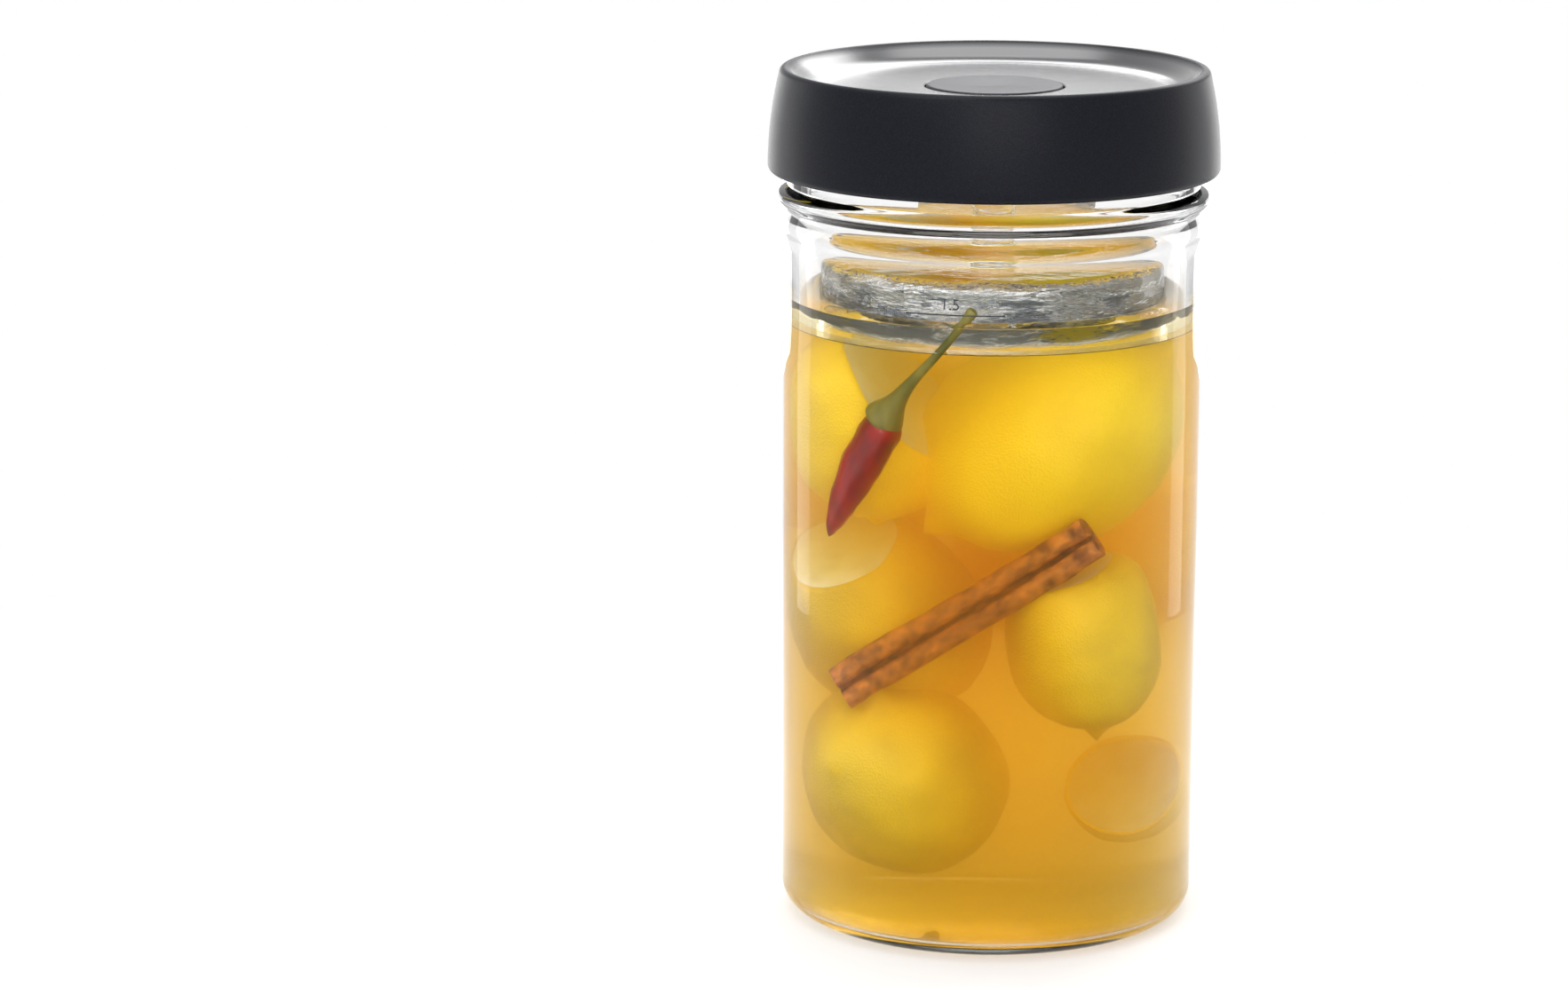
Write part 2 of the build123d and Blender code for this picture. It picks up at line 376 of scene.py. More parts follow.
class Nodes:
    """A node tree that every node is added to in one way."""

    def __init__(self, tree: bpy.types.NodeTree) -> None:
        """Empty a tree and keep it."""
        self.tree = tree
        self.tree.nodes.clear()

    def add(
        self, kind: str, settings: dict[str, object] | None = None, sockets: dict | None = None
    ) -> bpy.types.Node:
        """Add a node, set it up and fill its sockets.

        Args:
            kind: the node's type.
            settings: its settings; stops is a ramp's list of place and colour.
            sockets: its inputs by name or number, each a number, a colour or a Value.

        Returns:
            The new node.
        """
        node = self.tree.nodes.new(kind)
        for key, value in (settings or {}).items():
            if key == "stops":
                ramp = node.color_ramp
                while len(ramp.elements) < len(value):
                    ramp.elements.new(0.5)
                for element, (place, colour) in zip(ramp.elements, value):
                    element.position = place
                    element.color = (*colour, 1.0)
            else:
                setattr(node, key, value)
        for key, value in (sockets or {}).items():
            target = node.inputs[key]
            if isinstance(value, Value):
                self.tree.links.new(value.socket, target)
            elif isinstance(value, tuple) and len(value) == 3 and target.type == "RGBA":
                target.default_value = (*value, 1.0)
            else:
                target.default_value = value
        return node

    def value(self, node: bpy.types.Node, output: str | int = 0) -> Value:
        """Wrap a node's output.

        Args:
            node: the node.
            output: the output's name or number.

        Returns:
            The output as a Value.
        """
        return Value(self, node.outputs[output])

    def seen_share(self) -> Value:
        """Tell the rays that carry a picture, straight or by way of a gloss or a glass, from the rest.

        Returns:
            1 for such a ray and 0 for the rest.
        """
        path = self.add("ShaderNodeLightPath")
        seen = self.value(path, "Is Camera Ray") + self.value(path, "Is Glossy Ray")
        return (seen + self.value(path, "Is Transmission Ray")).clamped()


class Paint(Nodes):
    """One material, built node by node."""

    def __init__(self, name: str) -> None:
        """Start an empty material.

        Args:
            name: the material's name.
        """
        self.material = bpy.data.materials.new(name)
        self.material.use_nodes = True
        super().__init__(self.material.node_tree)

    def place(self) -> Value:
        """The surface's place in the piece's own frame, in metres."""
        return self.value(self.add("ShaderNodeTexCoord"), "Object")

    def axis_distance(self) -> Value:
        """Measure how far the surface is from the upright axis.

        Returns:
            The distance in metres.
        """
        split = self.add("ShaderNodeSeparateXYZ", None, {0: self.place()})
        x, y = self.value(split, 0), self.value(split, 1)
        return (x * x + y * y) ** 0.5

    def noise(self, scale: float, detail: float = 2.0, stretch: Triple = (1, 1, 1)) -> Value:
        """Soft noise over the piece.

        Args:
            scale: blobs to the metre.
            detail: how many finer layers it has.
            stretch: how much each axis is squeezed.

        Returns:
            The noise, from 0 to 1.
        """
        mapped = self.add("ShaderNodeMapping", None, {"Vector": self.place(), "Scale": stretch})
        node = self.add(
            "ShaderNodeTexNoise", None, {"Vector": self.value(mapped), "Scale": scale, "Detail": detail}
        )
        return self.value(node, 0)

    def ramp(self, factor: Value, stops: Sequence[tuple[float, Colour]]) -> Value:
        """Colours along a value.

        Args:
            factor: the value.
            stops: each colour and where it stands.

        Returns:
            The colour.
        """
        return self.value(self.add("ShaderNodeValToRGB", {"stops": stops}, {0: factor}))

    def blend(self, factor: object, first: object, second: object) -> Value:
        """Mix two colours.

        Args:
            factor: how much of the second colour shows.
            first: the first colour.
            second: the second colour.

        Returns:
            The mixed colour.
        """
        node = self.add("ShaderNodeMix", {"data_type": "RGBA"}, {0: factor, 6: first, 7: second})
        return self.value(node, 2)

    def bump(self, height: Value, distance: float, strength: float = 1.0) -> Value:
        """A normal that follows a height.

        Args:
            height: the height, from 0 to 1.
            distance: how many metres the height of 1 stands for.
            strength: how much of the effect shows.

        Returns:
            The normal.
        """
        node = self.add(
            "ShaderNodeBump", None, {"Height": height, "Distance": distance, "Strength": strength}
        )
        return self.value(node)

    def principled(self, **sockets: object) -> Value:
        """Add a Principled shader.

        Args:
            sockets: the shader's inputs, with underscores for spaces.

        Returns:
            The shader.
        """
        inputs = {key.replace("_", " "): value for key, value in sockets.items()}
        return self.value(self.add("ShaderNodeBsdfPrincipled", None, inputs))

    def close(self, surface: Value, volume: Value | None = None) -> bpy.types.Material:
        """Close the material with its shaders.

        Args:
            surface: the surface's shader.
            volume: the shader of what the surface encloses, or nothing.

        Returns:
            The material.
        """
        ends = {"Surface": surface} if volume is None else {"Surface": surface, "Volume": volume}
        self.add("ShaderNodeOutputMaterial", None, ends)
        return self.material

    def finish(self, **sockets: object) -> bpy.types.Material:
        """Close the material with one Principled shader, made of these inputs."""
        return self.close(self.principled(**sockets))

    def clear(self, tint: Colour, shine: float, index: float, **sockets: object) -> Value:
        """Make a clear surface that lets lamp light straight through.

        Args:
            tint: the colour of lamp light behind it.
            shine: how much of its reflection shows where it is looked at squarely.
            index: its index of refraction.
            sockets: more inputs of its shader.

        Returns:
            The shader.
        """
        shader = self.principled(
            Roughness=0.0, Specular_Tint=(shine, shine, shine), IOR=index, Transmission_Weight=1.0, **sockets
        )
        shadow = self.value(self.add("ShaderNodeLightPath"), "Is Shadow Ray")
        open_way = self.value(self.add("ShaderNodeBsdfTransparent", None, {"Color": tint}))
        return self.value(self.add("ShaderNodeMixShader", None, {0: shadow, 1: shader, 2: open_way}))


@dataclass(frozen=True)
class GrainedPlastic:
    """Dark moulded plastic with a fine spark-eroded grain, whose raised specks carry painted glints: a
    lighter colour.
    """

    name: str
    colour: Colour
    roughness: float
    gloss: float = 0.3
    polished_radius: float = 0.0
    polished_edge: float = 2.0 * MM
    grain: float = 2600.0
    depth: float = 0.03 * MM
    # How many times lighter the painted glints on the grain's raised specks are.
    painted_glint: float = 2.2
    mottle: float = 0.08
    polish: float = 0.2
    coat_roughness: float = 0.22
    coat_index: float = 1.9

    def make(self) -> bpy.types.Material:
        """Build the material.

        Returns:
            The material.
        """
        paint = Paint(self.name)
        grain = paint.noise(self.grain, 3.0)
        cloud = paint.noise(22.0, 2.0)
        # Painted glints: the grain's raised specks are painted several times lighter than the plastic's own
        # colour.
        light = tuple(c * self.painted_glint for c in self.colour)
        base = paint.blend(((grain - 0.4) * 3.0).clamped(), self.colour, light)
        sockets = {
            "Base_Color": base,
            "Roughness": self.roughness + (cloud - 0.5) * self.mottle,
            "Specular_IOR_Level": self.gloss,
            "Normal": paint.bump(grain, self.depth),
        }
        if self.polished_radius > 0:
            inside = ((self.polished_radius - paint.axis_distance()) / self.polished_edge).clamped()
            sockets["Coat_Weight"] = inside
            sockets["Coat_Roughness"] = self.coat_roughness
            sockets["Coat_IOR"] = self.coat_index
            sockets["Roughness"] = sockets["Roughness"] - inside * self.polish
        return paint.finish(**sockets)


@dataclass(frozen=True)
class ClearGlass:
    """Pressed glass, clear, with slow waves in its surface, and on a thick piece painted shade streaks on its
    side.
    """

    name: str
    tint: Colour = (1.0, 1.0, 1.0)
    smoke: float = 8.0
    shine: float = 0.12
    wave: float = 0.0001
    wave_scale: float = 45.0
    ripples: float = 2.0
    stretch: Triple = (1, 1, 1)
    index: float = 1.5
    soaked: Colour = (0.0, 0.03, 0.02)
    # Radius, bottom and top of the side that gets painted shade streaks, or nothing.
    painted_shade_streaks: Triple | None = None
    shade_edge: float = 0.8 * MM
    shade_waves: float = 2.6
    shade_grain: float = 0.9

    def paint_side_shade(self, paint: Paint, waves: Value) -> Value:
        """Paint shade onto the side of a thick piece, darker towards its foot, in ragged streaks.

        Args:
            paint: the material in the making.
            waves: the noise that the surface follows.

        Returns:
            The tint, darkened by the painted shade.
        """
        radius, low, high = self.painted_shade_streaks
        split = paint.add("ShaderNodeSeparateXYZ", None, {0: paint.place()})
        rise = (paint.value(split, 2) - low) / (high - low)
        side = ((paint.axis_distance() - radius) / self.shade_edge).clamped()
        fine = paint.noise(420.0, 3.0, (1, 1, 3.0))
        # Painted shade: dark grey at the foot of the side, fading to the plain tint higher up.
        shade = paint.ramp(
            rise + (waves - 0.5) * self.shade_waves + (fine - 0.5) * self.shade_grain,
            [(0.34, (0.16, 0.18, 0.22)), (0.46, (0.55, 0.60, 0.66)), (0.56, (1.0, 1.0, 1.0))],
        )
        return paint.blend(side, self.tint, shade)

    def make(self) -> bpy.types.Material:
        """Build the material.

        Returns:
            The material.
        """
        paint = Paint(self.name)
        waves = paint.noise(self.wave_scale, self.ripples, self.stretch)
        surface = paint.clear(
            self.tint,
            self.shine,
            self.index,
            Base_Color=self.paint_side_shade(paint, waves) if self.painted_shade_streaks else self.tint,
            Normal=paint.bump(waves, self.wave),
        )
        soak = paint.add(
            "ShaderNodeVolumeAbsorption", None, {"Color": self.soaked, "Density": self.smoke}
        )
        return paint.close(surface, paint.value(soak))


@dataclass(frozen=True)
class CloudyBrine:
    """Amber brine that light scatters in."""

    name: str
    absorbed: Colour = (1.0, 0.85, 0.0)
    absorption: float = 45.0
    cloud: Colour = (1.0, 0.95, 0.25)
    scatter: float = 40.0
    forward: float = 0.86
    shine: float = 0.05
    index: float = 1.33

    def make(self) -> bpy.types.Material:
        """Build the material.

        Returns:
            The material.
        """
        paint = Paint(self.name)
        white = (1.0, 1.0, 1.0)
        soak = paint.add(
            "ShaderNodeVolumeAbsorption", None, {"Color": self.absorbed, "Density": self.absorption}
        )
        haze = paint.add(
            "ShaderNodeVolumeScatter",
            None,
            {"Color": self.cloud, "Density": self.scatter, "Anisotropy": self.forward},
        )
        both = paint.add("ShaderNodeAddShader", None, {0: paint.value(soak), 1: paint.value(haze)})
        surface = paint.clear(white, self.shine, self.index, Base_Color=white)
        return paint.close(surface, paint.value(both))


@dataclass(frozen=True)
class Peel:
    """Lemon peel with pores and greener, browner patches, and a painted glow: it gives off faint light in its
    own colour.
    """

    name: str
    bright: Colour = (1.0, 0.72, 0.002)
    deep: Colour = (0.86, 0.56, 0.002)
    # Strength of the painted glow, a faint emission that brightens the peel as if more light reached it.
    glow: float = 0.12
    pores: float = 1500.0
    pore_depth: float = 0.16 * MM

    def make(self) -> bpy.types.Material:
        """Build the material.

        Returns:
            The material.
        """
        paint = Paint(self.name)
        cells = paint.add("ShaderNodeTexVoronoi", None, {"Vector": paint.place(), "Scale": self.pores})
        pores = paint.value(cells, "Distance")
        patches = paint.noise(38.0, 4.0)
        base = paint.blend((patches * 1.6 - 0.4).clamped(), self.bright, self.deep)
        return paint.finish(
            Base_Color=base,
            Roughness=0.42 + patches * 0.15,
            # Painted glow: the peel emits its own colour, though it is no lamp.
            Emission_Color=base,
            Emission_Strength=self.glow,
            Normal=paint.bump(pores, self.pore_depth),
        )


@dataclass(frozen=True)
class Pith:
    """White pith of a cut lemon."""

    name: str
    relief: float = 0.6 * MM

    def make(self) -> bpy.types.Material:
        """Build the material.

        Returns:
            The material.
        """
        paint = Paint(self.name)
        fibre = paint.noise(160.0, 4.0)
        base = paint.ramp(fibre, [(0.3, (0.82, 0.76, 0.55)), (0.6, (0.93, 0.90, 0.78))])
        return paint.finish(Base_Color=base, Roughness=0.7, Normal=paint.bump(fibre, self.relief))


@dataclass(frozen=True)
class PlainSkin:
    """A mottled natural skin, for the chilli, its stalk and the cinnamon."""

    name: str
    dark: Colour
    light: Colour
    roughness: float
    scale: float
    stretch: Triple = (1, 1, 1)
    relief: float = 0.3 * MM

    def make(self) -> bpy.types.Material:
        """Build the material.

        Returns:
            The material.
        """
        paint = Paint(self.name)
        mottle = paint.noise(self.scale, 5.0, self.stretch)
        base = paint.ramp(mottle, [(0.32, self.dark), (0.66, self.light)])
        return paint.finish(
            Base_Color=base, Roughness=self.roughness, Normal=paint.bump(mottle, self.relief)
        )


@dataclass
class JarWall:
    """The glass jar's wall, neck, rings and base."""

    radius: float = 57.0 * MM
    height: float = 223.0 * MM
    bore: float = 53.5 * MM
    neck: float = 56.0 * MM
    bead_height: float = 200.3 * MM
    ring_height: float = 192.0 * MM
    corner: float = 7.0 * MM
    inside_corner: float = 5.0 * MM
    floor: float = 3.5 * MM
    punt: float = 2.0 * MM
    foot: float = 42.0 * MM
    hollow: float = 0.6 * MM
    half_bead: float = 2.9 * MM
    bead_bulge: float = 2.7 * MM
    half_ring: float = 2.6 * MM
    ring_bulge: float = 0.5 * MM
    waist_start: float = 155.0 * MM
    waist: float = 0.35 * MM
    rim: float = 0.9 * MM
    step: float = 0.5 * MM
    root: float = 0.15 * MM
    lug_root: float = 1.2 * MM
    lug_depth: float = 2.3 * MM
    lug_bottom: float = 211.0 * MM
    lug_height: float = 2.9 * MM
    lug_angle: float = 40.0

    def section(self) -> list[Point]:
        """The wall's section.

        Returns:
            Its points, once round.
        """
        r, h, rim = self.radius, self.height, self.rim
        bead_low, bead_high = self.bead_height - self.half_bead, self.bead_height + self.half_bead
        ring_low, ring_high = self.ring_height - self.half_ring, self.ring_height + self.half_ring
        inside = self.bore - self.inside_corner
        points = bow((0.0, self.punt), (self.foot, 0.0), -self.hollow, 8)
        points += arc((r - self.corner, self.corner), self.corner, -90, 0, 12)
        points += bow((r, self.waist_start), (r, ring_low), -self.waist, 10)
        points += bow((r, ring_low), (r, ring_high), self.ring_bulge, 6)[1:]
        points += [(r, bead_low - self.step)]
        points += bow((r + self.root, bead_low), (self.neck + self.root, bead_high), self.bead_bulge, 14)
        points += [(self.neck, bead_high + self.step)]
        points += arc((self.neck - rim, h - rim), rim, 0, 90, 5)
        points += arc((self.bore + rim, h - rim), rim, 90, 180, 5)
        points += arc((inside, self.floor + self.inside_corner), self.inside_corner, 0, -90, 10)
        points += bow((inside, self.floor), (0.0, self.floor + self.punt), self.hollow, 8)[1:]
        return points + [points[0]]

    def build(self, glass: bpy.types.Material) -> bpy.types.Object:
        """Build the jar and let it stand for its CAD node.

        Args:
            glass: its finish.

        Returns:
            The jar.
        """
        jar = Bench.turn("jar_glass", self.section(), segments=192)
        LugRing(
            self.neck - self.lug_root,
            self.neck + self.lug_depth,
            self.lug_bottom,
            self.lug_bottom + self.lug_height,
            self.lug_angle,
        ).join(jar)
        jar.data.materials.append(glass)
        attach(jar, "jar")
        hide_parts("glass_jar")
        log.info("jar wall built")
        return jar


@dataclass
class Weight:
    """The pressed glass weight with its knob."""

    radius: float = 47.0 * MM
    bottom: float = 165.6 * MM
    top: float = 183.7 * MM
    edge: float = 4.0 * MM
    knob: float = 6.1 * MM
    knob_top: float = 200.7 * MM
    dome: float = 3.0 * MM
    root: float = 2.5 * MM
    ripple: float = 0.7 * MM
    ripple_size: float = 6.0 * MM

    def section(self) -> list[Point]:
        """The weight's section.

        Returns:
            Its points, from the middle of its underside to the middle of its knob.
        """
        points: list[Point] = [(0.0, self.bottom), (self.radius * 0.5, self.bottom)]
        points += arc((self.radius - self.edge, self.bottom + self.edge), self.edge, -90, 0, 8)
        points += bow(points[-1], (self.radius, self.top - self.edge), 0.0, 16)[1:-1]
        points += arc((self.radius - self.edge, self.top - self.edge), self.edge, 0, 90, 8)
        points += arc((self.knob + self.root, self.top + self.root), self.root, -90, -180, 6)
        points += arc((self.knob - self.dome, self.knob_top - self.dome), self.dome, 0, 90, 8)
        return points + [(0.0, self.knob_top)]

    def build(self, glass: bpy.types.Material) -> None:
        """Build the weight and let it stand for its CAD node.

        Args:
            glass: its finish.
        """
        weight = Bench.turn("weight_glass", self.section(), segments=240)
        Bench.clouds(weight, self.ripple_size, self.ripple)
        weight.data.materials.append(glass)
        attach(weight, "weight")
        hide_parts("glass_weight")
        log.info("glass weight built")


@dataclass
class Lid:
    """The lid's cap, and the button that stands in its dish."""

    radius: float = 61.4 * MM
    bottom: float = 206.6 * MM
    lip: float = 0.4 * MM
    bulge: float = 0.72 * MM
    crest: float = 234.7 * MM
    crest_radius: float = 56.8 * MM
    lean: float = 13.5
    slope: float = 38.0
    blend: float = 9.0 * MM
    flat: float = 229.6 * MM
    rim_round: float = 1.6 * MM
    edge_round: float = 1.8 * MM
    bore: float = 58.9 * MM
    bore_top: float = 210.5 * MM
    draft: float = 0.6 * MM
    opening: float = 19.0 * MM
    chamfer: float = 0.3 * MM
    collar: float = 1.6 * MM
    collar_foot: float = 222.4 * MM
    underside: float = 227.4 * MM
    shoulder: float = 50.4 * MM
    vault: tuple[Point, Point] = ((55.9 * MM, 231.4 * MM), (56.3 * MM, 231.0 * MM))
    lug_inner: float = 56.6 * MM
    lug_root: float = 0.6 * MM
    lug_bottom: float = 207.6 * MM
    lug_angle: float = 34.0
    lug_first: float = 45.0
    button: float = 18.5 * MM
    button_bore: float = 16.9 * MM
    button_foot: float = 220.4 * MM
    button_plate: float = 228.2 * MM
    button_top: float = 230.0 * MM
    button_edge: float = 0.5 * MM
    button_rim: float = 1.4 * MM
    button_dip: float = 0.5 * MM
    button_bow: float = 0.1 * MM

    def section(self) -> list[Point]:
        """The cap's section.

        Returns:
            Its points, once round.
        """
        ledge = self.opening + self.collar
        centre = (self.crest_radius, self.crest - self.rim_round)
        edge_centre = (self.radius - self.edge_round, self.bottom + self.edge_round)
        crest = arc(centre, self.rim_round, self.lean, 90 + self.slope, 10)
        foot = crest[-1][0] - (crest[-1][1] - self.flat) / math.tan(math.radians(self.slope))
        start = foot - self.blend * math.tan(math.radians(self.slope / 2))
        points: list[Point] = [(self.bore, self.bottom + self.lip), (self.bore + self.lip, self.bottom)]
        points += arc(edge_centre, self.edge_round, -90, 0, 7)
        points += bow(points[-1], crest[0], self.bulge, 18)[1:-1]
        points += crest
        points += arc((start, self.flat + self.blend), self.blend, -90 + self.slope, -90, 10)
        points += [(self.opening + self.chamfer, self.flat), (self.opening, self.flat - self.chamfer)]
        points += [(self.opening, self.collar_foot), (ledge, self.collar_foot)]
        points += [(ledge, self.underside), (self.shoulder, self.underside), self.vault[0]]
        points += bow(self.vault[1], (self.bore, self.bore_top), -self.draft, 8)
        return points + [points[0]]

    def button_section(self) -> list[Point]:
        """The button's section.

        Returns:
            Its points, once round.
        """
        edge, top = self.button_edge, self.button_top
        points: list[Point] = [(0.0, self.button_plate), (self.button_bore, self.button_plate)]
        points += [(self.button_bore, self.button_foot), (self.button, self.button_foot)]
        points += arc((self.button - edge, top - edge), edge, 0, 90, 5)
        points += bow((self.button - self.button_rim, top), (0.0, top - self.button_dip), self.button_bow, 8)
        return points + [points[0]]

    def build(self, plastic: bpy.types.Material, soft: bpy.types.Material) -> None:
        """Build the cap and the button, and let them stand for their CAD nodes.

        Args:
            plastic: the cap's finish.
            soft: the button's finish.
        """
        cap = Bench.turn("lid_shell", self.section(), segments=192)
        LugRing(
            self.lug_inner,
            self.bore + self.lug_root,
            self.lug_bottom,
            self.bore_top,
            self.lug_angle,
            first=self.lug_first,
        ).join(cap)
        cap.data.materials.append(plastic)
        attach(cap, "lid")
        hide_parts("lid_cap")
        button = Bench.turn("button_top", self.button_section(), segments=128)
        button.data.materials.append(soft)
        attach(button, "button")
        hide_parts("valve_button")
        log.info("lid built")


@dataclass
class Brine:
    """The brine under the weight, and the ring of brine round the weight."""

    bore: float = 53.5 * MM
    level: float = 171.5 * MM
    climb: float = 1.2 * MM
    sag: float = 0.96 * MM
    weight_radius: float = 47.0 * MM
    weight_bottom: float = 165.6 * MM
    floor: float = 3.5 * MM
    corner: float = 5.0 * MM
    punt: float = 2.0 * MM
    hollow: float = 0.6 * MM
    rows: tuple[float, ...] = (60.0 * MM, 110.0 * MM)
    overlap: float = 0.15 * MM

    def build(self, liquid: bpy.types.Material, clearer: bpy.types.Material) -> None:
        """Build both pieces.

        Args:
            liquid: the finish of the brine under the weight.
            clearer: the finish of the ring, where less has risen.
        """
        reach = self.bore + self.overlap
        low = self.floor - self.overlap
        top = self.weight_bottom + self.overlap
        points = bow((0.0, low + self.punt), (self.bore - self.corner, low), -self.hollow, 8)
        points += arc((reach - self.corner, low + self.corner), self.corner, -90, 0, 10)[1:]
        points += [(reach, row) for row in self.rows]
        points += [(reach, top), (0.0, top)]
        body = Bench.turn("fill_brine", points, segments=160)
        body.data.materials.append(liquid)
        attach(body, "jar")
        inner = self.weight_radius - self.overlap
        edge = self.level + self.climb
        ring = [(inner, self.weight_bottom), (reach, self.weight_bottom), (reach, edge)]
        ring += bow((reach, edge), (inner, edge), self.sag, 8)[1:]
        ring += [ring[0]]
        collar = Bench.turn("fill_brine_ring", ring, segments=160)
        collar.data.materials.append(clearer)
        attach(collar, "jar")
        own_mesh(collar)
        log.info("brine built")


@dataclass
class Lemon:
    """A lemon, whole or cut open, with its places and sizes in millimetres and its turn in radians."""

    name: str
    ripeness: Ripeness
    place: Triple
    turn: Triple
    length: float
    width: float
    cut_place: Triple | None = None
    cut_way: Triple = (0.0, 0.0, 1.0)
    tip: float = 0.13
    tip_width: float = 0.2
    fullness: float = 2.3
    rows: int = 28
    rind: float = 1.2 * MM
    lumps: float = 3.5 * MM
    lump_size: float = 20.0 * MM

    def section(self) -> list[Point]:
        """The lemon's section.

        Returns:
            Its points, from tip to tip.
        """
        half, wide = self.length * MM / 2, self.width * MM / 2
        points: list[Point] = []
        for i in range(self.rows + 1):
            t = -1 + 2 * i / self.rows
            share = min(abs(t) / (1 - self.tip), 1.0)
            body = math.sqrt(1 - share**self.fullness)
            nipple = self.tip_width * math.sqrt(1 - abs(t) ** 3)
            points.append((wide * max(body, nipple), half * t))
        points[0], points[-1] = (0.0, -half), (0.0, half)
        return points

    def build(self, peel: bpy.types.Material, pith: bpy.types.Material) -> None:
        """Build the lemon.

        Args:
            peel: the finish of its skin.
            pith: the finish of its cut.
        """
        lemon = Bench.turn(self.name, self.section(), segments=64)
        lemon.data.materials.append(peel)
        lemon.data.materials.append(pith)
        if self.cut_place is not None:
            centre, way = Vector(self.cut_place) * MM, Vector(self.cut_way).normalized()
            bpy.ops.object.mode_set(mode="EDIT")
            bpy.ops.mesh.select_all(action="SELECT")
            bpy.ops.mesh.bisect(plane_co=centre, plane_no=way, use_fill=True, clear_outer=True)
            bpy.ops.mesh.inset(thickness=self.rind)
            lemon.active_material_index = 1
            bpy.ops.object.material_slot_assign()
            bpy.ops.object.mode_set(mode="OBJECT")
        Bench.clouds(lemon, self.lump_size, self.lumps)
        Bench.place(lemon, Vector(self.place) * MM, Euler(self.turn))
        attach(lemon, "jar")
        log.info("%s built", self.name)


LEMONS = (
    Lemon("fill_lemon_top", Ripeness.RIPE, (15.0, -17.5, 137.0), (-0.1, 0.86, 0.0), 80.0, 55.0),
    Lemon(
        "fill_lemon_right", Ripeness.OLIVE, (23.5, -24.5, 83.0), (0.05, -0.08, 0.0), 58.0, 39.0,
        cut_place=(0.0, 0.0, 20.0), cut_way=(-0.30, -0.08, 1.0),
    ),
    Lemon("fill_lemon_left", Ripeness.OLIVE, (-20.0, -18.5, 43.0), (0.35, -0.3, 0.0), 62.0, 49.0),
    Lemon(
        "fill_lemon_middle", Ripeness.OLIVE, (-24.0, -8.0, 86.0), (0.1, -0.45, 0.0), 66.0, 46.0,
        cut_place=(0.0, 0.0, 21.0), cut_way=(-0.1, -0.2, 1.0),
    ),
    Lemon(
        "fill_lemon_high", Ripeness.RIPE, (-27.0, -13.0, 140.0), (0.15, -0.1, 0.0), 62.0, 44.0,
        cut_place=(6.0, -8.0, 8.0), cut_way=(0.75, -0.35, 0.6),
    ),
    Lemon(
        "fill_lemon_low", Ripeness.RIPE, (31.0, -4.0, 36.0), (1.2, 0.4, 0.0), 44.0, 30.0,
        cut_place=(0.0, 0.0, 4.0), cut_way=(-0.2, 0.3, 1.0),
    ),
    Lemon("fill_lemon_back", Ripeness.RIPE, (18.0, 22.0, 96.0), (0.2, 1.3, 0.4), 60.0, 46.0),
    Lemon("fill_lemon_far", Ripeness.RIPE, (-20.0, 24.0, 125.0), (0.9, 0.3, 0.4), 66.0, 48.0),
)


@dataclass
class Chilli:
    """The chilli and its stalk, with their sections and ways in millimetres."""

    pod: tuple[Point, ...] = (
        (0.0, -0.2), (4.0, 0.0), (5.4, 2.0), (6.0, 6.0), (5.9, 13.0),
        (5.4, 20.0), (4.5, 27.0), (3.2, 33.0), (1.7, 38.0), (0.0, 40.0),
    )
    pod_way: tuple[Triple, ...] = ((-26.0, -38.5, 145.5), (-34.4, -32.0, 127.0), (-40.8, -26.5, 109.0))
    folds: float = 1.4 * MM
    fold_size: float = 7.0 * MM
    stalk: tuple[Point, ...] = (
        (0.0, -2.4), (5.5, -2.4), (5.7, -0.6), (4.6, 1.6), (3.2, 4.4), (2.2, 8.0), (1.5, 13.0),
        (1.2, 20.0), (1.0, 30.0), (1.15, 36.0), (1.7, 38.6), (1.5, 40.0), (0.0, 40.2),
    )
    stalk_way: tuple[Triple, ...] = (
        (-26.3, -38.3, 146.1), (-20.5, -44.0, 156.0), (-12.0, -48.4, 167.0), (-1.5, -50.4, 181.5)
    )

    def build(self, skin: bpy.types.Material, green: bpy.types.Material) -> None:
        """Build the pod, and the stalk with its calyx.

        Args:
            skin: the pod's finish.
            green: the finish of calyx and stalk.
        """
        body = Bench.turn("fill_chilli", scaled(self.pod), segments=40)
        body.data.materials.append(skin)
        Bench.modify(body, "SUBSURF", levels=2)
        Bench.clouds(body, self.fold_size, self.folds)
        Bench.follow(body, self.pod_way)
        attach(body, "jar")
        stem = Bench.turn("fill_chilli_stalk", scaled(self.stalk), segments=24)
        stem.data.materials.append(green)
        Bench.modify(stem, "SUBSURF", levels=1)
        Bench.follow(stem, self.stalk_way)
        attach(stem, "jar")
        log.info("chilli built")


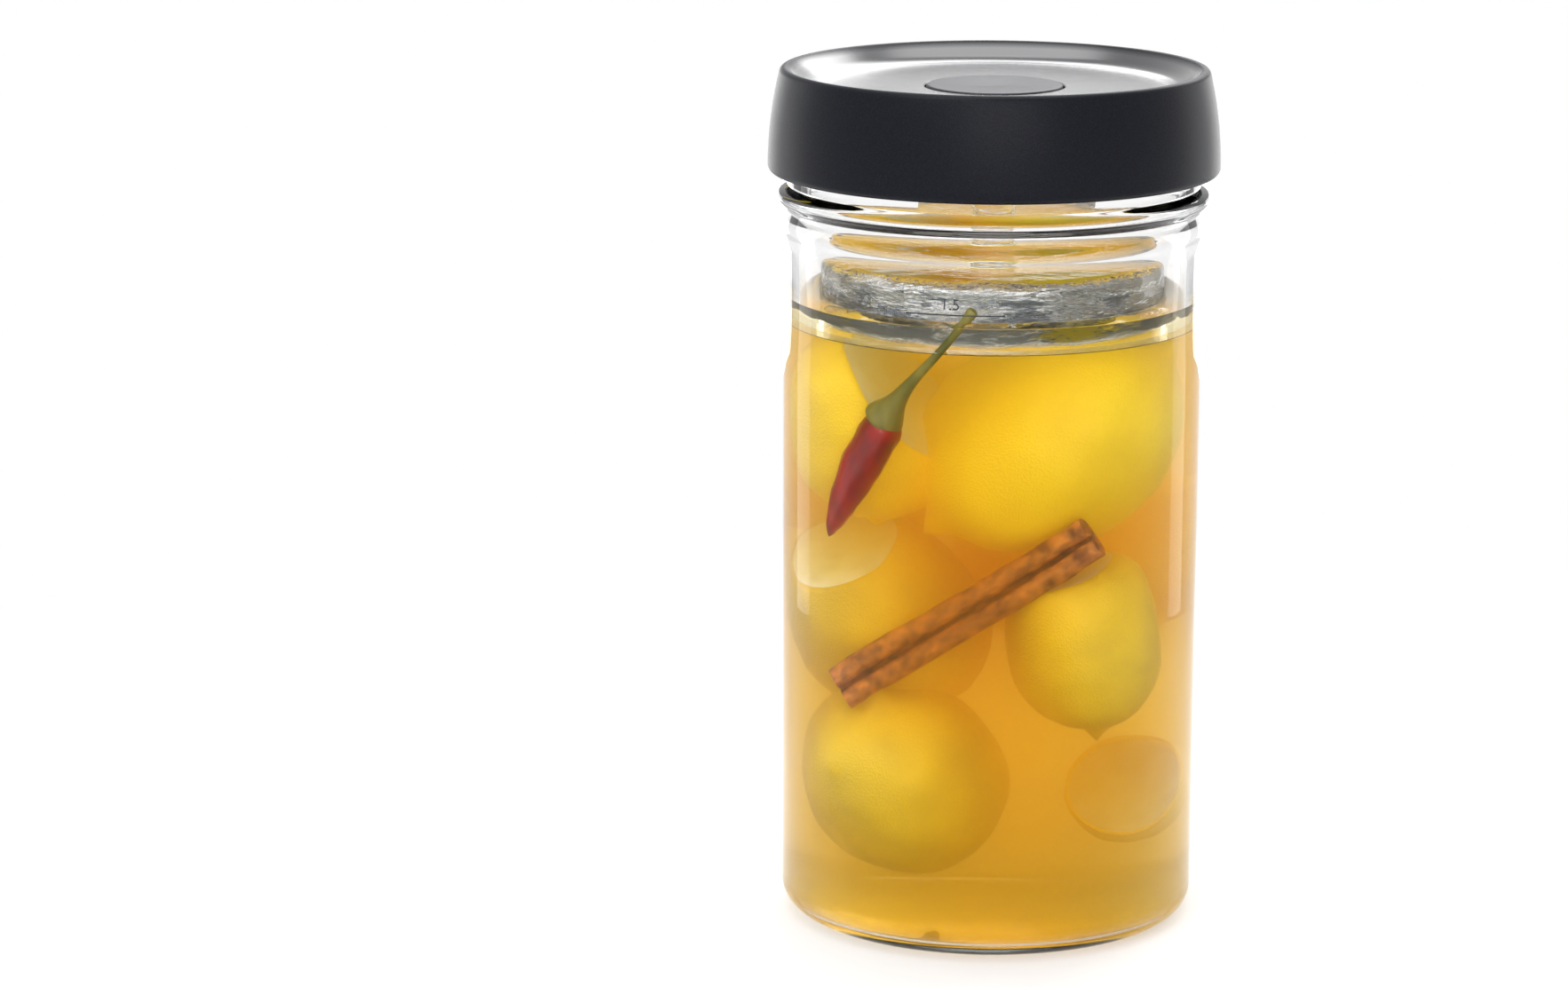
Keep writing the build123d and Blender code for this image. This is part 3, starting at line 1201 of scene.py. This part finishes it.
@dataclass
class Cinnamon:
    """The cinnamon stick, rolled in from both sides, with its ends in millimetres."""

    first: Triple = (-37.5, -31.0, 69.0)
    last: Triple = (26.0, -41.0, 114.5)
    half_wall: float = 0.5 * MM
    offset: float = 3.05 * MM
    roll: float = 2.75 * MM
    shrink: float = 1.1 * MM
    turns: float = 1.35
    steps: int = 33
    stretches: int = 40
    ridges: float = 1.3 * MM
    ridge_size: float = 9.0 * MM

    def outline(self) -> list[Point]:
        """The stick's outline across.

        Returns:
            Its points, without the first one again at the end.
        """
        middle: list[Point] = []
        for i in range(self.steps + 1):
            t = i / self.steps * self.turns
            angle = math.radians(90) - t * math.tau
            radius = self.roll - self.shrink * t
            middle.append((self.offset + radius * math.cos(angle), radius * math.sin(angle)))
        middle = [(-x, y) for x, y in reversed(middle)] + middle
        sides: tuple[list[Point], list[Point]] = ([], [])
        for i, (x, y) in enumerate(middle):
            before, after = middle[max(i - 1, 0)], middle[min(i + 1, len(middle) - 1)]
            along = Vector((after[0] - before[0], after[1] - before[1])).normalized()
            for side, sign in zip(sides, (1, -1)):
                side.append((x - sign * along.y * self.half_wall, y + sign * along.x * self.half_wall))
        return [*sides[0], *reversed(sides[1])]

    def build(self, bark: bpy.types.Material) -> None:
        """Build the stick.

        Args:
            bark: its finish.
        """
        first, last = Vector(self.first) * MM, Vector(self.last) * MM
        stick = Bench.prism("fill_cinnamon", self.outline(), (last - first).length, self.stretches)
        stick.data.materials.append(bark)
        Bench.clouds(stick, self.ridge_size, self.ridges, direction="X")
        turn = (last - first).to_track_quat("Z", "Y") @ Euler((0, 0, math.radians(-90))).to_quaternion()
        Bench.place(stick, first, turn.to_euler())
        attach(stick, "jar")
        log.info("cinnamon built")


@dataclass
class FillMark:
    """The fill line and its number, printed on the outside of the glass."""

    length: float = 26.0 * MM
    thickness: float = 0.35 * MM
    line_place: Triple = (-9.5, -70.0, 176.6)
    number_place: Triple = (-13.5, -70.0, 178.0)
    figure: float = 4.2 * MM
    film: float = 0.04 * MM

    def build(self, ink: bpy.types.Material, jar: bpy.types.Object) -> None:
        """Build the line and the number in front of the jar, and press them onto its glass.

        Args:
            ink: the print's finish.
            jar: the glass that it is printed on.
        """
        Bench.clear_selection()
        bpy.ops.mesh.primitive_plane_add(size=1.0, location=(0, 0, 0))
        line = Bench.adopt("fill_line")
        bpy.ops.object.mode_set(mode="EDIT")
        bpy.ops.transform.resize(value=(self.length, self.thickness, 1.0))
        bpy.ops.mesh.subdivide(number_cuts=24)
        Bench.clear_selection()
        bpy.ops.object.text_add(location=(0, 0, 0))
        text = bpy.context.object.data
        text.body = "1.5"
        text.size = self.figure
        text.resolution_u = 6
        bpy.ops.object.convert(target="MESH")
        number = Bench.adopt("fill_number")
        for piece, place in ((line, self.line_place), (number, self.number_place)):
            Bench.place(piece, Vector(place) * MM, Euler((math.radians(90), 0, 0)))
            piece.data.materials.append(ink)
            Bench.modify(
                piece,
                "SHRINKWRAP",
                target=jar,
                wrap_method="PROJECT",
                use_project_y=True,
                use_positive_direction=True,
                use_negative_direction=False,
                offset=self.film,
            )
            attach(piece, "jar")
        log.info("fill mark built")


@dataclass
class SoftBox:
    """An area lamp that the camera doesn't see, with its place, aim and size in metres."""

    name: str
    place: Triple
    size: Point
    watts: float
    aim: Triple = (0.0, 0.0, 0.12)
    through_glass: bool = True

    def build(self) -> None:
        """Hang the lamp."""
        data = bpy.data.lights.new(self.name, "AREA")
        data.shape = "RECTANGLE"
        data.size, data.size_y = self.size
        data.energy = self.watts
        obj = bpy.data.objects.new(self.name, data)
        bpy.context.scene.collection.objects.link(obj)
        obj.visible_camera = False
        obj.visible_transmission = self.through_glass
        obj.location = self.place
        way = Vector(self.aim) - Vector(self.place)
        obj.rotation_euler = way.to_track_quat("-Z", "Y").to_euler()


LAMPS = (
    SoftBox("key", (-0.6, -0.9, 1.3), (0.9, 0.9), 8.5),
    SoftBox("front", (0.1, -1.5, 0.62), (1.0, 0.4), 5.0),
    SoftBox("top", (0.0, 0.05, 1.2), (0.9, 0.9), 6.0),
    SoftBox("back", (0.25, 0.9, 0.8), (0.8, 0.5), 5.0),
    SoftBox("glow", (0.0, 0.75, 0.12), (1.1, 0.34), 2.8, (0.0, 0.0, 0.08), through_glass=False),
    SoftBox("strip_left", (-0.30, 0.16, 0.19), (0.09, 0.36), 0.12, (0.0, 0.0, 0.19)),
    SoftBox("strip_right", (0.30, 0.16, 0.19), (0.09, 0.36), 0.12, (0.0, 0.0, 0.19)),
)


@dataclass
class Studio:
    """The floor, the light and the camera."""

    distance: float = 1.300
    camera_height: float = 0.4067
    pitch: float = 12.6
    yaw: float = -2.5
    roll: float = 0.14
    focal_pixels: float = 5440.0
    frame_width: float = 1766.0
    sensor_width: float = 36.0
    near_clip: float = 0.01
    floor_size: float = 30.0
    floor_gap: float = 0.3 * MM
    shadow_reach: float = 0.12
    shadow_fade: float = 0.35
    world_light: float = 0.75

    def camera(self) -> None:
        """Add the camera at the photograph's viewing angle."""
        data = bpy.data.cameras.new("view")
        data.sensor_width = self.sensor_width
        data.lens = self.focal_pixels / self.frame_width * self.sensor_width
        data.clip_start = self.near_clip
        obj = bpy.data.objects.new("view", data)
        bpy.context.scene.collection.objects.link(obj)
        pitch, yaw, roll = (math.radians(a) for a in (self.pitch, self.yaw, self.roll))
        forward = Vector((math.sin(yaw) * math.cos(pitch), math.cos(yaw) * math.cos(pitch), -math.sin(pitch)))
        right = Vector((math.cos(yaw), -math.sin(yaw), 0.0))
        up = right.cross(forward)
        basis = Matrix((right, up, -forward)).transposed() @ Matrix.Rotation(roll, 3, "Z")
        obj.matrix_world = Matrix.Translation((0, -self.distance, self.camera_height)) @ basis.to_4x4()
        bpy.context.scene.camera = obj

    def floor(self) -> None:
        """Add the pale floor, which turns plain white away from the object's shadow."""
        Bench.clear_selection()
        bpy.ops.mesh.primitive_plane_add(size=self.floor_size, location=(0, 0, -self.floor_gap))
        floor = Bench.adopt("floor")
        paint = Paint("floor")
        near = paint.principled(Base_Color=(0.93, 0.93, 0.93), Roughness=0.9)
        white = paint.add("ShaderNodeEmission", None, {"Color": (1.0, 1.0, 1.0), "Strength": 1.0})
        far = ((paint.axis_distance() - self.shadow_reach) / self.shadow_fade).clamped()
        share = paint.seen_share() * far
        mix = paint.add("ShaderNodeMixShader", None, {0: share, 1: near, 2: paint.value(white)})
        floor.data.materials.append(paint.close(paint.value(mix)))

    def world(self) -> None:
        """Light the object evenly, and show a brighter ground where nothing stands."""
        world = bpy.data.worlds.new("studio")
        bpy.context.scene.world = world
        world.use_nodes = True
        nodes = Nodes(world.node_tree)
        light = nodes.value(nodes.add("ShaderNodeBackground", None, {"Strength": self.world_light}))
        seen = nodes.value(nodes.add("ShaderNodeBackground", None, {"Strength": 1.0}))
        mix = nodes.add("ShaderNodeMixShader", None, {0: nodes.seen_share(), 1: light, 2: seen})
        nodes.add("ShaderNodeOutputWorld", None, {"Surface": nodes.value(mix)})

    def build(self) -> None:
        """Set up the studio."""
        self.camera()
        self.floor()
        self.world()
        for lamp in LAMPS:
            lamp.build()
        scene = bpy.context.scene
        scene.view_settings.view_transform = "Standard"
        scene.cycles.volume_bounces = 14
        scene.cycles.transmission_bounces = 16
        scene.cycles.max_bounces = 28
        log.info("studio built")


@dataclass
class ReturnSpring:
    """The button's coil, which shortens as the button is pressed."""

    seat: float = 216.0 * MM
    travel: float = 2.5 * MM
    crease: float = 70.0

    def build(self, steel: bpy.types.Material) -> None:
        """Copy the coil's solid and round its wire.

        Args:
            steel: its finish.
        """
        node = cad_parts["valve_spring"]
        coil = node.copy()
        coil.data = node.data.copy()
        coil.name = coil.data.name = "return_spring"
        bpy.context.scene.collection.objects.link(coil)
        coil.data.materials.clear()
        coil.data.materials.append(steel)
        Bench.modify(coil, "WELD", merge_threshold=AXIS_TOLERANCE)
        bpy.ops.object.shade_smooth_by_angle(angle=math.radians(self.crease))
        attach(coil, "lid")
        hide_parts("valve_spring")
        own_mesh(coil)
        log.info("return spring built")


def fill_jar(jar: bpy.types.Object) -> None:
    """Build everything in the jar, and the mark on its glass.

    Args:
        jar: the jar's glass.
    """
    ring = CloudyBrine("brine_ring", absorption=30.0, scatter=12.0)
    Brine().build(CloudyBrine("brine").make(), ring.make())
    olive = Peel(Ripeness.OLIVE.value, (0.90, 0.60, 0.004), (0.56, 0.36, 0.004))
    peels = {Ripeness.RIPE: Peel(Ripeness.RIPE.value).make(), Ripeness.OLIVE: olive.make()}
    pith = Pith("lemon_pith").make()
    for lemon in LEMONS:
        lemon.build(peels[lemon.ripeness], pith)
    red = PlainSkin("chilli_skin", (0.16, 0.002, 0.002), (0.50, 0.006, 0.005), 0.24, 120.0, (1, 1, 0.4))
    green = PlainSkin("stalk", (0.10, 0.10, 0.01), (0.26, 0.22, 0.04), 0.5, 220.0, (1, 1, 0.15))
    Chilli().build(red.make(), green.make())
    bark = PlainSkin("cinnamon_bark", (0.16, 0.035, 0.006), (0.72, 0.26, 0.05), 0.65, 260.0, relief=1.2 * MM)
    Cinnamon().build(bark.make())
    FillMark().build(Paint("print").finish(Base_Color=(0.03, 0.03, 0.035), Roughness=0.6), jar)


def dress_nodes() -> None:
    """Give the CAD nodes that stay their own finishes."""
    liner = GrainedPlastic("liner_plastic", (0.09, 0.092, 0.1), 0.35).make()
    silicone = Paint("silicone").finish(Base_Color=(0.7, 0.71, 0.69), Roughness=0.5)
    finishes = {
        "lid_liner": liner,
        "valve_stem": liner,
        "valve_well": liner,
        "lid_gasket": silicone,
        "valve_seal": silicone,
        "gas_valve": silicone,
    }
    for node, finish in finishes.items():
        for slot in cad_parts[node].material_slots:
            slot.material = finish
        log.info("%s dressed", node)


def main() -> None:
    """Build the studio, the jar, its weight, its lid and its fill, and dress the CAD nodes that stay."""
    logging.basicConfig(level=logging.INFO)
    Studio().build()
    jar = JarWall().build(ClearGlass("jar_glass", wave=0.06 * MM).make())
    weight = Weight()
    glass = ClearGlass(
        "weight_glass", smoke=5.0, wave=1.5 * MM, wave_scale=70.0, ripples=4.0, stretch=(1, 1, 3.0),
        # The weight's side gets painted shade streaks towards its foot.
        painted_shade_streaks=(weight.radius - 1.2 * MM, weight.bottom, weight.top),
    )
    weight.build(glass.make())
    Lid().build(
        GrainedPlastic("lid_plastic", (0.0045, 0.005, 0.008), 0.38, 0.13, 56.0 * MM).make(),
        GrainedPlastic("button_plastic", (0.02, 0.021, 0.025), 0.4, 0.3).make(),
    )
    steel = Paint("spring_steel").finish(Base_Color=(0.6, 0.6, 0.6), Roughness=0.25, Metallic=1.0)
    ReturnSpring().build(steel)
    fill_jar(jar)
    dress_nodes()


if __name__ == "__main__":
    main()
